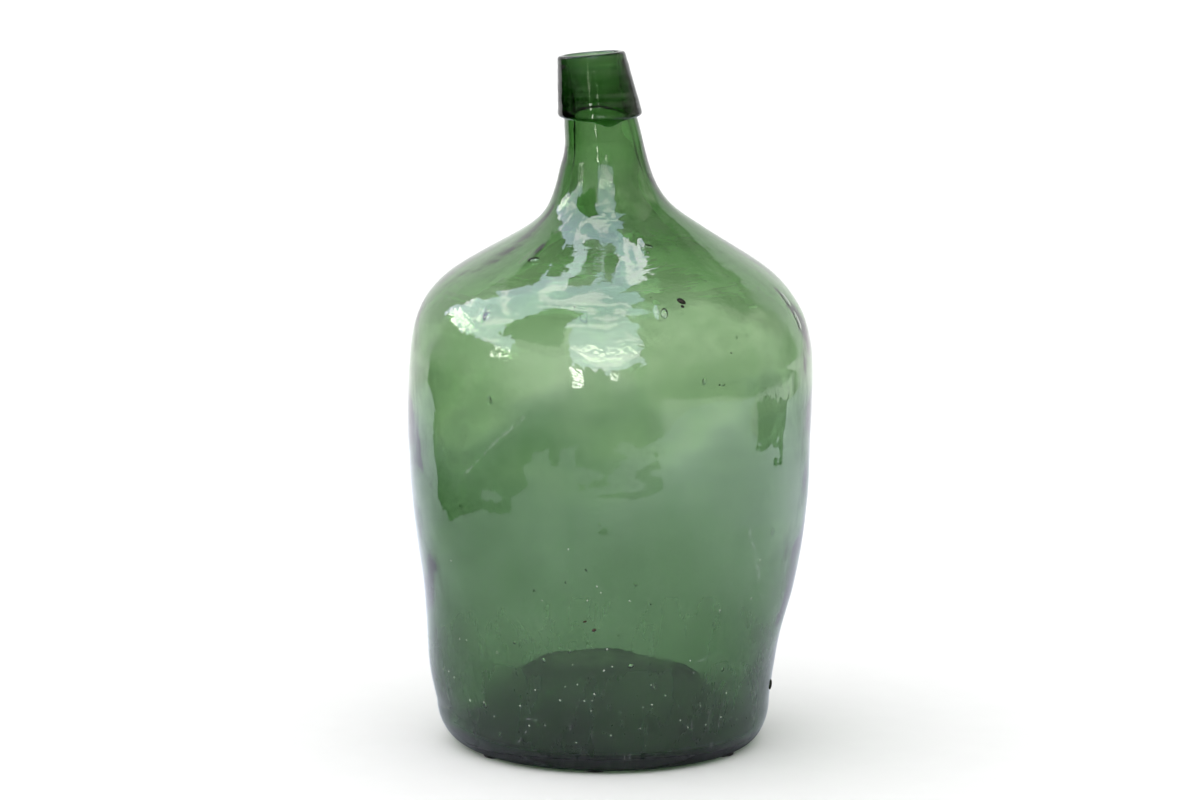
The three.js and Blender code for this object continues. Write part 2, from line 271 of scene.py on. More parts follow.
# the foot's oval outer edge
FOOT_EDGE = 1 / np.hypot(np.cos(ANGLES) / FOOT_OUTER_R[0], np.sin(ANGLES) / FOOT_OUTER_R[1])


# ------------------------------------------------------------------ meshes
OUTSIDE, FUSED, INSIDE = 0, 1, 2  # what a band of faces is


def into_neck(ring, z, radius, bump):
    """The ring blended into the leaning neck that the lip sits on."""
    share = smoothstep(350, 371, z)
    if share > 0:
        along = along_lip(z)
        ring = ring * (1 - share) + share * lip_point(radius(along) + bump, along)
    return ring


def outer_ring(z):
    waves = outer_waves(ANGLES, z)
    fade = smoothstep(14, 40, z) * (1 - 0.7 * smoothstep(300, 340, z))
    ring = side_point(ANGLES, mean_radius(z), z, z, waves * fade)
    return into_neck(ring, z, neck_radius, 0.06 * waves)


def inner_ring(z):
    """The outer ring at z moved in by the wall's thickness, square to the side's slope."""
    slope = mean_radius(z + 0.5) - mean_radius(z - 0.5)
    length, thickness = math.hypot(1, slope), wall_thickness(z)
    waves = inner_waves(ANGLES, z)
    fade = smoothstep(24, 50, z) * (1 - 0.6 * smoothstep(300, 340, z))
    ring = side_point(ANGLES, mean_radius(z) - thickness / length, z,
                      z + thickness * slope / length, waves * fade)
    return into_neck(ring, z, bore_radius, 0.1 * waves)


def side_heights(spacing):
    """Heights from the heel to the neck, spaced evenly along the outside's slope."""
    z = np.arange(HEEL_TOP_Z, TOP_RING_Z + 0.01, 0.1)
    run = np.r_[0, np.cumsum(np.hypot(np.diff(z), np.diff(mean_radius(z))))]
    count = int(round(run[-1] / spacing))
    return np.interp(np.linspace(0, run[-1], count + 1), run, z)


def signed_volume(points, faces):
    """Six times the volume, positive when the faces turn outward."""
    fans = np.array([(f[0], f[k], f[k + 1]) for f in faces for k in range(1, len(f) - 1)])
    corners = points[fans]
    return float(np.einsum("ij,ij->", corners[:, 0], np.cross(corners[:, 1], corners[:, 2])))


def new_object(name, points, faces):
    """A smooth-shaded object from points in metres."""
    mesh = bpy.data.meshes.new(name)
    mesh.from_pydata(points, [], faces)
    mesh.polygons.foreach_set("use_smooth", np.ones(len(faces), bool))
    thing = bpy.data.objects.new(name, mesh)
    bpy.context.scene.collection.objects.link(thing)
    return thing


def ring_mesh(name, rings, closed=False, extras=()):
    """A mesh through rings of points, given with what the band after each ring is. A ring of one
    point closes an end. extras are small bodies in the glass: (points, faces, material slot)."""
    firsts = [0]
    for points, _ in rings:
        firsts.append(firsts[-1] + len(points))
    faces, bands = [], []
    for k in range(len(rings) if closed else len(rings) - 1):
        following = (k + 1) % len(rings)
        here, there = firsts[k], firsts[following]
        for i in range(SEGMENTS):
            j = (i + 1) % SEGMENTS
            if len(rings[k][0]) == 1:
                faces.append((here, there + j, there + i))
            elif len(rings[following][0]) == 1:
                faces.append((here + i, here + j, there))
            else:
                faces.append((here + i, here + j, there + j, there + i))
        bands += [rings[k][1]] * SEGMENTS
    points = np.concatenate([ring for ring, _ in rings])
    if signed_volume(points, faces) < 0:
        faces = [face[::-1] for face in faces]
    slots = [0] * len(faces)
    first, parts = len(points), [points]
    for extra_points, extra_faces, slot in extras:
        parts.append(extra_points)
        faces += [tuple(first + corner for corner in face) for face in extra_faces]
        first += len(extra_points)
        bands += [OUTSIDE] * len(extra_faces)
        slots += [slot] * len(extra_faces)
    points = (np.concatenate(parts) + np.array([*FOOT_CENTRE, 0])) / 1000
    thing = new_object(name, points.tolist(), faces)
    mesh = thing.data
    mesh.polygons.foreach_set("material_index", np.array(slots, np.int32))
    for label, band in (("fused", FUSED), ("inside", INSIDE)):
        values = (np.array(bands) == band).astype(np.float32)
        mesh.attributes.new(label, "FLOAT", "FACE").data.foreach_set("value", values)
    mesh.update()
    return thing


# ------------------------------------------------------------------ marks in the glass
# degrees round, height, place in the wall (0 outside, 1 inside), half sizes out, round, up, turn
BLISTERS = [
    (228.6, 274.0, 0.35, 0.75, 2.6, 3.0, 10), (287.1, 278.5, 0.35, 0.8, 2.1, 3.6, -15),
    (230.1, 303.8, 0.40, 0.9, 4.2, 2.6, 12), (293.2, 311.6, 0.35, 0.8, 2.8, 1.9, -20),
    (291.0, 309.0, 0.5, 0.5, 1.3, 1.2, 0), (235.6, 226.6, 0.4, 0.10, 0.7, 2.0, 25),
    (345.8, 275.2, 0.35, 0.7, 2.2, 3.6, -12), (345.8, 262.6, 0.35, 0.7, 2.0, 4.6, -8),
    (250.0, 70.8, 0.4, 0.6, 1.1, 1.6, 30), (258.5, 77.5, 0.4, 0.6, 1.0, 1.5, -30),
    (226.0, 37.0, 0.4, 0.7, 1.5, 1.6, 0), (278.0, 68.5, 0.4, 0.8, 1.9, 1.3, 15),
    (267.1, 156.0, 0.4, 0.4, 0.7, 1.3, 5), (243.0, 276.0, 0.5, 0.3, 0.8, 0.7, 0),
    (303.0, 236.0, 0.5, 0.4, 1.5, 0.6, 10), (254.0, 297.0, 0.5, 0.3, 0.6, 0.5, 0),
    (240.0, 80.0, 0.4, 0.5, 1.0, 1.0, 0), (312.0, 60.0, 0.4, 0.5, 1.4, 1.6, 0),
    (310.0, 262.0, 0.5, 0.3, 0.7, 0.9, 0), (97.0, 248.0, 0.4, 0.7, 2.4, 3.1, 8),
    (61.0, 200.0, 0.4, 0.6, 1.5, 2.7, -12), (141.0, 285.0, 0.4, 0.8, 3.4, 2.0, 10),
    (28.0, 120.0, 0.4, 0.5, 1.2, 2.2, 15), (168.0, 150.0, 0.4, 0.5, 1.1, 2.4, -10)]
RAISED_BLISTERS = BLISTERS[:8]  # these also lift the surface
# the same columns, then a seed
STONES = [
    (294.4, 284.1, 0.06, 0.9, 3.2, 2.1, -38, 11), (294.0, 281.4, 0.06, 0.6, 1.3, 1.1, 0, 12),
    (351.7, 36.2, -0.05, 0.8, 1.2, 3.2, 6, 13)]
RUST = [
    (266.1, 90.9, 0.35, 0.9, 1.4, 1.1, 20, 21), (263.2, 96.4, 0.35, 0.6, 1.2, 0.6, 15, 22)]
# small pale grains, which are painted glints standing in for seeds that catch the light, and dark
# specks: degrees round, height
PAINTED_GLINT_GRAINS = [
    (233.5, 72.7), (243.7, 29.4), (249.5, 30.4), (269.4, 66.4), (272.0, 68.8), (261.0, 57.5),
    (282.3, 42.6), (285.3, 44.0), (284.8, 56.3), (281.5, 29.4), (283.5, 18.5), (265.6, 47.6),
    (340.6, 85.9), (267.8, 115.0), (266.6, 118.8), (276.3, 109.5), (258.4, 141.2),
    (263.9, 110.0), (255.2, 47.1), (246.8, 52.4), (274.7, 40.1), (303.3, 40.1), (295.7, 32.4),
    (219.4, 38.6), (231.3, 19.8), (271.7, 25.6), (289.9, 49.1), (316.3, 45.7), (241.0, 41.3),
    (259.7, 20.8), (250.2, 108.6), (297.8, 69.4), (216.7, 124.6), (306.1, 99.0),
    (320.3, 125.9), (323.9, 112.2), (319.7, 76.2), (319.0, 102.7)]
DARK_SPECKS = [
    (251.7, 302.8), (257.9, 282.6), (284.0, 287.2), (314.3, 282.8), (306.8, 253.9),
    (301.8, 236.2), (282.9, 106.6)]
GLASS_SLOT, STONE_SLOT, RUST_SLOT, PAINTED_GLINT_SLOT = range(4)


def wall_point(degrees, z, share):
    """A point in the side wall, with the directions out, round and up there."""
    def outer(angle, height):
        angle = np.array([angle])
        waves = outer_waves(angle, height)
        return side_point(angle, mean_radius(height), height, height, waves)[0]
    angle = degrees * DEG
    around = outer(angle + 0.01, z) - outer(angle - 0.01, z)
    up = outer(angle, z + 0.5) - outer(angle, z - 0.5)
    around, up = around / np.linalg.norm(around), up / np.linalg.norm(up)
    out = np.cross(around, up)
    return outer(angle, z) - out * wall_thickness(z) * share, out, around, up


def blob(slot, place, size, turn, seed, lumps, sides, bubble=False):
    """An ellipsoid at (degrees round, height, share of the wall) with half sizes (out, round, up).
    A bubble faces inward, like the glass round it."""
    centre, out, around, up = wall_point(*place)
    rng = np.random.default_rng(seed)
    cos, sin = math.cos(turn * DEG), math.sin(turn * DEG)
    across, along = around * cos + up * sin, up * cos - around * sin
    stacks = max(6, sides * 2 // 3)
    angles = np.arange(sides) * 2 * math.pi / sides
    unit = [np.array([[1.0, 0, 0]])]
    for polar in np.linspace(0, math.pi, stacks + 1)[1:-1]:
        unit.append(np.stack([np.full(sides, math.cos(polar)), math.sin(polar) * np.cos(angles),
                              math.sin(polar) * np.sin(angles)], -1))
    unit.append(np.array([[-1.0, 0, 0]]))
    unit = np.concatenate(unit)
    radius = np.ones(len(unit))
    for _ in range(6 if lumps else 0):
        toward = rng.normal(size=3)
        toward /= np.linalg.norm(toward)
        radius += lumps * rng.uniform(-1, 1) * np.exp(-4 * (1 - unit @ toward))
    points = centre + radius[:, None] * (
        unit[:, :1] * size[0] * out + unit[:, 1:2] * size[1] * across
        + unit[:, 2:3] * size[2] * along)
    faces = []
    last_stack = 1 + (stacks - 2) * sides
    for i in range(sides):
        j = (i + 1) % sides
        faces.append((0, 1 + i, 1 + j))
        for stack in range(stacks - 2):
            here, there = 1 + stack * sides, 1 + (stack + 1) * sides
            faces.append((here + i, there + i, there + j, here + j))
        faces.append((last_stack + i, len(unit) - 1, last_stack + j))
    if (signed_volume(points - centre, faces) < 0) != bubble:
        faces = [face[::-1] for face in faces]
    return points, faces, slot


def marks_in_glass():
    found = []
    for seed, (degrees, z, share, depth, width, height, turn) in enumerate(BLISTERS):
        size = (min(depth, 0.22 * wall_thickness(z)), width, height)
        found.append(blob(GLASS_SLOT, (degrees, z, share), size, turn, seed,
                          lumps=0.12, sides=20, bubble=True))
    for rows, slot, lumps, sides in ((STONES, STONE_SLOT, 0.5, 18), (RUST, RUST_SLOT, 0.35, 16)):
        for *place_and_size, turn, seed in rows:
            found.append(blob(slot, place_and_size[:3], place_and_size[3:], turn, seed,
                              lumps=lumps, sides=sides))
    rng = np.random.default_rng(78)
    scattered = [(rng.uniform(0, 360), 20 + 60 * rng.uniform() ** 1.5) for _ in range(90)]
    # places, slot, share of the wall, radii, depth and least width by radius, first seed
    for places, slot, share, radii, depth, narrowest, seed in (
            # pale grains as painted glints of seeds, at the listed places and 90 more at random
            (PAINTED_GLINT_GRAINS + scattered, PAINTED_GLINT_SLOT, 0.0, (0.32, 0.72), 0.4, 0.6, 300),
            (DARK_SPECKS, STONE_SLOT, 0.45, (0.40, 0.60), 0.5, 0.7, 400)):
        for k, (degrees, z) in enumerate(places):
            radius = rng.uniform(*radii)
            size = (depth * radius, radius * rng.uniform(narrowest, 1.1), radius)
            found.append(blob(slot, (degrees, z, share), size, rng.uniform(0, 90), seed + k,
                              lumps=0.3, sides=9))
    rng = np.random.default_rng(77)
    for seed in range(560):  # tiny bubbles, thickest low down
        z = 22 + 300 * rng.uniform() ** 2.1
        degrees = rng.uniform(0, 360)
        radius = 0.09 + 0.24 * rng.uniform() ** 3
        stretch = rng.uniform(1.0, 3.2)
        share = rng.uniform(0.25, 0.7)
        size = (radius, radius * rng.uniform(0.9, 1.3), radius * stretch)
        found.append(blob(GLASS_SLOT, (degrees, z, share), size, rng.normal(0, 25), seed,
                          lumps=0.0, sides=8, bubble=True))
    return found


# ------------------------------------------------------------------ pieces
def build_vessel():
    """One closed line from under the foot up the outside, through the mouth and down inside."""
    # push-up, foot and heel
    rings = [(np.array([[0, 0, PUNT[0, 1]]]), OUTSIDE)]
    rings += [(flat_ring(radius, z), OUTSIDE) for radius, z in resample(PUNT, 3.0, 1.2)[1:-1]]
    rings.append((flat_ring(FOOT_INNER_R, FOOT_Z + 0.15), OUTSIDE))
    for part in np.linspace(0.07, 1, 7):
        radius = FOOT_INNER_R + (FOOT_EDGE - FOOT_INNER_R) * part
        rings.append((flat_ring(radius, FOOT_Z), OUTSIDE))
    foot, heel_top = flat_ring(FOOT_EDGE, 0.0), outer_ring(HEEL_TOP_Z)
    for degrees in np.linspace(0, 90, 19)[1:-1]:
        ring = foot + (heel_top - foot) * math.sin(degrees * DEG) ** HEEL_ROUNDNESS
        ring[:, 2] = FOOT_Z + (HEEL_TOP_Z - FOOT_Z) * (1 - math.cos(degrees * DEG))
        rings.append((ring, OUTSIDE))
    # side, and on to the line where the lip's glass begins
    rings += [(outer_ring(z), OUTSIDE) for z in side_heights(2.6)]
    top = along_lip(TOP_RING_Z)
    for part in (0.33, 0.66):
        along = top + (CONTACT - top) * part
        rings.append((lip_point(neck_radius(along), along), OUTSIDE))
    # the fused part, inside the lip
    rings += [(lip_point(neck_radius(along), along), FUSED) for along in FUSED_RINGS]
    middle = (neck_radius(NECK_END) + bore_radius(NECK_END)) / 2
    rings.append((lip_point(middle, NECK_END), FUSED))
    # bore, inside and floor
    for along in (NECK_END, NECK_END - 0.04, *np.linspace(NECK_END, top, 18)[1:-1]):
        rings.append((lip_point(bore_radius(along), along), INSIDE))
    rings += [(inner_ring(z), INSIDE) for z in side_heights(2.8)[::-1]]
    lowest = inner_ring(HEEL_TOP_Z)
    side_radius = np.hypot(lowest[:, 0], lowest[:, 1])
    for k, (radius, z) in enumerate(resample(FLOOR, 3.0, 1.6)[:-1]):
        # the rings next to the side follow its unevenness
        uneven = (side_radius - side_radius.mean()) * math.exp(-(k * 3.0 / 7.0) ** 2)
        rings.append((flat_ring(radius + uneven, z), INSIDE))
    rings.append((np.array([[0, 0, FLOOR[-1, 1]]]), INSIDE))
    return ring_mesh("glass_vessel_blown", rings, extras=marks_in_glass())


# rim from the mouth outward: radius, distance along the lip's axis
RIM = [
    (16.0, LIP_HEIGHT - 5.4), (16.0, LIP_HEIGHT - 2.8), (16.2, LIP_HEIGHT - 0.9),
    (17.0, LIP_HEIGHT), (18.4, LIP_HEIGHT), (19.6, LIP_HEIGHT - 0.35), (20.35, LIP_HEIGHT - 1.4),
    (20.6, LIP_HEIGHT - 3.0), (20.85, LIP_HEIGHT - 5.0)]
CONE_TOP_R, CONE_TOP = RIM[-1]
CONE_FOOT_R, CONE_FOOT = 25.0, 3.0
# underside: radius (in the last rows what it adds to the neck), distance along, share of the drip
LOWER_EDGE = [
    (25.25, 2.1, 0), (25.35, 1.3, 0), (25.25, 0.6, 0.02), (24.95, 0.05, 0.08),
    (24.4, -0.4, 0.25), (23.7, -0.75, 0.5)]
UNDERSIDE_AT_NECK = [(1.15, -0.92, 0.75), (0.6, -1.02, 0.92), (0.2, -1.08, 0.98)]


def build_lip():
    """A closed loop: up the fused faces, over the rim, down the cone and back underneath."""
    rings = [(lip_point(neck_radius(CONTACT) + FUSED_GAP + 0.05, CONTACT), OUTSIDE)]
    for along in FUSED_RINGS[:-1]:
        rings.append((lip_point(neck_radius(along) + FUSED_GAP, along), FUSED))
    neck, bore, seat = neck_radius(NECK_END), bore_radius(NECK_END), NECK_END + FUSED_GAP
    rings += [
        (lip_point(neck + FUSED_GAP, seat), FUSED), (lip_point((neck + bore) / 2, seat), FUSED),
        (lip_point(bore, seat), OUTSIDE), (lip_point(bore, seat + 0.04), OUTSIDE)]
    for radius, along in resample(RIM, 0.55, 0.35)[1:]:
        rings.append((lip_point(radius, along), OUTSIDE))
    for along in np.linspace(CONE_TOP, CONE_FOOT, 27)[1:]:
        part = (CONE_TOP - along) / (CONE_TOP - CONE_FOOT)
        radius = CONE_TOP_R + (CONE_FOOT_R - CONE_TOP_R) * part
        # the lipping tool's shallow turns, uneven round the lip
        turns = (0.035 * np.sin(along * 2.1 + 0.5 * np.sin(2 * ANGLES))
                 * (0.6 + 0.4 * np.sin(ANGLES + 4.0)) + 0.03 * math.sin(along * 0.7 + 1.0))
        wobble = (0.16 * np.sin(2 * ANGLES + 0.4) + 0.08 * np.sin(3 * ANGLES + 2.1)
                  + 0.05 * np.sin(7 * ANGLES + along * 0.22))
        rings.append((lip_point(radius + turns + wobble, along), OUTSIDE))
    for radius, along, share in LOWER_EDGE:
        rings.append((lip_point(radius, along - share * DRIP), OUTSIDE))
    for k, (beyond, along, share) in enumerate(UNDERSIDE_AT_NECK):
        along = along - share * DRIP
        swell = 0.25 * np.minimum(1, DRIP / 2) * (1 - k / 3)
        rings.append((lip_point(neck_radius(along) + beyond + swell, along), OUTSIDE))
    return ring_mesh("applied_lip_tooled", rings, closed=True)


def build_pad(node):
    low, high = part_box(node)
    centre = (low + high) / 2
    full = (high.x - low.x + high.y - low.y) / 4 * 1000  # radius in mm
    height = FOOT_Z - 0.02
    phases = np.random.default_rng(sum(map(ord, node))).uniform(0, 6.28, 4)
    profile = [  # radius, height
        (full * 0.45, 0.0), (full - 1.4, 0.0), (full - 0.8, 0.06), (full - 0.35, 0.25),
        (full - 0.1, 0.6), (full, 1.0), (full - 0.02, 1.45), (full - 0.12, 1.75),
        (full - 0.3, 1.9), (full - 0.55, height), (full * 0.5, height)]
    sides = 64
    angles = np.arange(sides) * 2 * math.pi / sides
    wobble = 1 + 0.006 * np.sin(2 * angles + phases[0]) + 0.004 * np.sin(5 * angles + phases[1])
    points = [(centre.x, centre.y, 0.0)]
    for radius, z in profile:
        points += [(centre.x + reach * math.cos(angle) / 1000,
                    centre.y + reach * math.sin(angle) / 1000, z / 1000)
                   for reach, angle in zip(np.minimum(radius * wobble, full), angles)]
    points.append((centre.x, centre.y, height / 1000))
    faces = []
    top = 1 + (len(profile) - 1) * sides
    for i in range(sides):
        j = (i + 1) % sides
        faces.append((0, 1 + j, 1 + i))
        for k in range(len(profile) - 1):
            here, there = 1 + k * sides, 1 + (k + 1) * sides
            faces.append((here + i, here + j, there + j, there + i))
        faces.append((top + i, top + j, len(points) - 1))
    return new_object(node + "_soft", points, faces)


# ------------------------------------------------------------------ shader graph helpers
class Signal:
    """A shader socket that takes part in arithmetic. Each operation adds a node."""

    def __init__(self, graph, socket):
        self.graph, self.socket = graph, socket

    def __add__(self, other):
        return self.graph.math("ADD", self, other)

    def __sub__(self, other):
        return self.graph.math("SUBTRACT", self, other)

    def __rsub__(self, other):
        return self.graph.math("SUBTRACT", other, self)

    def __mul__(self, other):
        return self.graph.math("MULTIPLY", self, other)

    def clamp(self):
        """Keeps the Math node behind this signal between 0 and 1."""
        self.socket.node.use_clamp = True
        return self

    def ramp(self, over, to=(0.0, 1.0), smooth=True):
        """Goes from to[0] to to[1] while this signal goes over the given range."""
        values = {"Value": self, "From Min": over[0], "From Max": over[1],
                  "To Min": to[0], "To Max": to[1]}
        kind = "SMOOTHSTEP" if smooth else "LINEAR"
        return self.graph.signal("MapRange", values, interpolation_type=kind)


class Graph:
    """The emptied node tree of a material or world."""

    def __init__(self, owner):
        owner.use_nodes = True
        self.tree = owner.node_tree
        self.tree.nodes.clear()

    def node(self, kind, inputs=None, **settings):
        """Settings go first, since they decide which sockets a name finds."""
        node = self.tree.nodes.new("ShaderNode" + kind)
        for name, value in settings.items():
            setattr(node, name, value)
        for key, value in (inputs or {}).items():
            socket = node.inputs[key]
            if isinstance(value, Signal):
                self.tree.links.new(value.socket, socket)
            else:
                socket.default_value = (*value, 1) if socket.type == "RGBA" else value
        return node

    def signal(self, kind, inputs=None, output=0, **settings):
        return Signal(self, self.node(kind, inputs, **settings).outputs[output])

    def math(self, operation, *values):
        return self.signal("Math", dict(enumerate(values)), operation=operation)

    def vector(self, operation, *values, output=0):
        return self.signal("VectorMath", dict(enumerate(values)), output, operation=operation)

    def dot(self, first, second):
        return self.vector("DOT_PRODUCT", first, second, output="Value")

    def scaled(self, vector, factor):
        return self.signal("VectorMath", {0: vector, "Scale": factor}, operation="SCALE")

    def length(self, across, along):
        return self.math("SQRT", across * across + along * along)

    def largest(self, signals):
        return functools.reduce(lambda first, second: self.math("MAXIMUM", first, second), signals)

    def mix(self, factor, first, second, kind="RGBA"):
        inputs = {"Factor": factor, "A": first, "B": second}
        return self.signal("Mix", inputs, "Result", data_type=kind)

    def coordinates(self):
        """Object coordinates, and x, y and z by themselves."""
        coords = self.signal("TexCoord", output="Object")
        parts = self.node("SeparateXYZ", {0: coords}).outputs
        return coords, *(Signal(self, part) for part in parts)

    def combine(self, *parts):
        return self.signal("CombineXYZ", dict(enumerate(parts)))

    def noise(self, coords, scale, detail=2.0, rough=0.5, stretch=None, offset=None,
              distortion=0.0):
        mapping = {"Scale": stretch, "Location": offset}
        mapping = {key: value for key, value in mapping.items() if value is not None}
        if mapping:
            coords = self.signal("Mapping", {"Vector": coords, **mapping})
        inputs = {"Vector": coords, "Scale": scale, "Detail": detail, "Roughness": rough,
                  "Distortion": distortion}
        return self.signal("TexNoise", inputs, output="Fac")

    def bump(self, height, distance):
        return self.signal("Bump", {"Height": height, "Distance": distance, "Strength": 1.0})

    def from_axis(self, x, y):
        """Metres from the vertical line through the foot's centre."""
        return self.length(x - FOOT_X, y - FOOT_Y)


def new_material(name):
    material = bpy.data.materials.new(name)
    return material, Graph(material)


# ------------------------------------------------------------------ glass
BODY_ABSORB = (190.0, 118.0, 215.0)  # per metre, red green blue
LIP_ABSORB = (330.0, 225.0, 365.0)
CORD_TINT = (0.955, 0.985, 0.95)
FILM_HAZE, GRIT_HAZE, BOTTOM_HAZE = 0.050, 0.25, 0.10  # how much dirt inside hides the glass
SCRATCH_WEAR, SMEAR_WEAR, DUST_WEAR = 0.22, 0.018, 0.10  # how much marks outside hide it
# roughness from faint patches, wear, the ground underside and floor, the crust inside, and all over
PATCH_ROUGH, WEAR_ROUGH, BASE_ROUGH, CRUST_ROUGH, LEAST_ROUGH = 0.008, 0.35, 0.34, 0.42, 0.004
# heights in metres of orange peel, pitting, shoulder wrinkles and raised blisters
PEEL_RISE, PIT_RISE, WRINKLE_RISE, BLISTER_RISE = 0.00016, 0.000010, 0.00013, 0.00042
# long scratches: start and end (degrees round, height), width, strength, radius of the side there
LONG_SCRATCHES = [
    ((-140.3, 168.0), (-126.0, 195.0), 1.3, 0.10, 122.0),
    ((-125.0, 197.0), (-113.0, 219.0), 2.0, 0.08, 122.0),
    ((-46.0, 150.0), (-34.5, 98.0), 2.6, 0.07, 116.0),
    ((-121.0, 18.0), (-117.0, 27.0), 0.8, 0.16, 96.0),
    ((-118.5, 33.5), (-113.5, 33.2), 0.9, 0.15, 98.0),
    ((-62.0, 66.0), (-53.0, 72.0), 1.2, 0.10, 104.0),
    ((64.0, 240.0), (97.0, 178.0), 0.8, 0.15, 122.0),
    ((140.0, 120.0), (171.0, 150.0), 0.8, 0.12, 116.0)]


def glass_places(graph):
    """Where a point of the glass is: degrees round (-180 to 180), height in mm, which face."""
    coords, x, y, z = graph.coordinates()
    degrees = graph.math("ARCTAN2", y - FOOT_Y, x - FOOT_X) * (180 / math.pi)
    fused, inside = (graph.signal("Attribute", output="Fac", attribute_name=name)
                     for name in ("fused", "inside"))
    free = 1.0 - fused
    return SimpleNamespace(coords=coords, x=x, y=y, degrees=degrees, height=z * 1000.0,
                           free=free, inside=inside, outside=(free - inside).clamp())


def near_line(at, start, end, width, radius):
    """1 on a line over the wall between two (degrees round, height), 0 from width mm away."""
    start_x, end_x = start[0] * DEG * radius, end[0] * DEG * radius
    run, rise = end_x - start_x, end[1] - start[1]
    squared = run ** 2 + rise ** 2
    across = at.degrees * (DEG * radius) - start_x
    up = at.height - start[1]
    part = (across * (run / squared) + up * (rise / squared)).clamp()
    distance = at.degrees.graph.length(across - part * run, up - part * rise)
    return distance.ramp((0.0, width), to=(1.0, 0.0))


def inner_film(graph, at):
    """Dried film on the inside, thickest low down, with specks."""
    low = at.height.ramp((20.0, 170.0), to=(1.0, 0.12))
    cloud = graph.noise(at.coords, scale=16.0, detail=6.0, rough=0.62, stretch=(1, 1, 0.7))
    cloud = cloud.ramp((0.35, 0.75), to=(0.25, 1.0))
    specks = graph.noise(at.coords, scale=520.0).ramp((0.70, 0.78))
    patches = graph.noise(at.coords, scale=40.0, detail=3.0, rough=0.6).ramp((0.45, 0.7))
    film = low * cloud * FILM_HAZE + specks * patches * low * GRIT_HAZE
    bottom = at.inside * at.height.ramp((46.0, 66.0), to=(1.0, 0.0))
    return film * at.inside + bottom * cloud * BOTTOM_HAZE


def outer_wear(graph, at, body):
    """Scuffs by the heel, fine scratches, smears and dust, and on the body long scratches."""
    unrolled = graph.combine(at.degrees * 2.0, at.height)
    lines = graph.noise(unrolled, scale=0.9, stretch=(1.0, 0.055, 1.0), distortion=0.35)
    where = graph.noise(at.coords, scale=26.0, detail=3.0, rough=0.6, offset=(0.3, 0.1, 0.2))
    heel = at.height.ramp((10.0, 75.0), to=(1.0, 0.0))
    scratches = lines.ramp((0.66, 0.72)) * (where.ramp((0.50, 0.66)) * (heel + 0.10))
    smear = graph.noise(at.coords, scale=9.0, detail=4.0, rough=0.6, stretch=(1, 1, 0.35),
                        offset=(2, 7, 1)).ramp((0.56, 0.80))
    dust = graph.noise(at.coords, scale=760.0, offset=(5, 5, 5)).ramp((0.72, 0.78))
    wear = scratches * SCRATCH_WEAR + smear * SMEAR_WEAR + dust * DUST_WEAR
    if body:
        long_lines = graph.largest(
            [near_line(at, start, end, width, radius) * strength
             for start, end, width, strength, radius in LONG_SCRATCHES])
        broken = graph.noise(at.coords, scale=210.0, detail=3.0, rough=0.6).ramp((0.46, 0.60))
        wear = wear + long_lines * broken
    return wear


def glass_roughness(graph, at, wear, body):
    patches = graph.noise(at.coords, scale=22.0, detail=5.0, rough=0.6).ramp((0.52, 0.78))
    rough = patches * PATCH_ROUGH + wear * WEAR_ROUGH
    if body:
        from_axis = graph.from_axis(at.x, at.y)
        under = (at.outside * at.height.ramp((43.0, 46.0), to=(1.0, 0.0))
                 * from_axis.ramp((0.069, 0.074), to=(1.0, 0.0)))
        floor = at.inside * (at.height.ramp((49.0, 55.0), to=(1.0, 0.0))
                             * from_axis.ramp((0.082, 0.096), to=(1.0, 0.0)))
        rough = rough + (under + floor).clamp() * BASE_ROUGH
        crust = graph.noise(at.coords, scale=38.0, detail=5.0, rough=0.65, stretch=(1, 1, 0.35))
        crust = at.inside * crust.ramp((0.40, 0.60), to=(0.15, 1.0))
        crust = crust * at.height.ramp((52.0, 84.0), to=(1.0, 0.0))
        rough = rough + crust * CRUST_ROUGH
    return (rough + LEAST_ROUGH) * at.free


def glass_relief(graph, at, body):
    """Slow orange peel, fine pitting, horizontal chill wrinkles on the shoulder, blisters."""
    peel = graph.noise(at.coords, scale=45.0, detail=3.0, stretch=(1, 1, 0.6))
    pits = graph.noise(at.coords, scale=240.0)
    wrinkles = graph.noise(at.coords, scale=34.0, detail=3.0, stretch=(0.5, 0.5, 4.0),
                           distortion=1.2)
    on_shoulder = (at.height.ramp((255.0, 285.0))
                   * at.height.ramp((305.0, 335.0), to=(1.0, 0.25)))
    relief = peel * PEEL_RISE + pits * PIT_RISE + wrinkles * on_shoulder * WRINKLE_RISE
    if body:
        for degrees, z, _, _, width, height, _ in RAISED_BLISTERS:
            degrees = (degrees + 180) % 360 - 180
            radius = 118.0 if z < 262 else float(mean_radius(z))
            half = max(0.0, height - width)
            # the tiny sideways step keeps the line from having no length
            line = near_line(at, (degrees, z - half), (degrees + 0.001, z + half),
                             width * 1.8, radius)
            relief = relief + line * BLISTER_RISE
    return graph.bump(relief, distance=1.0)


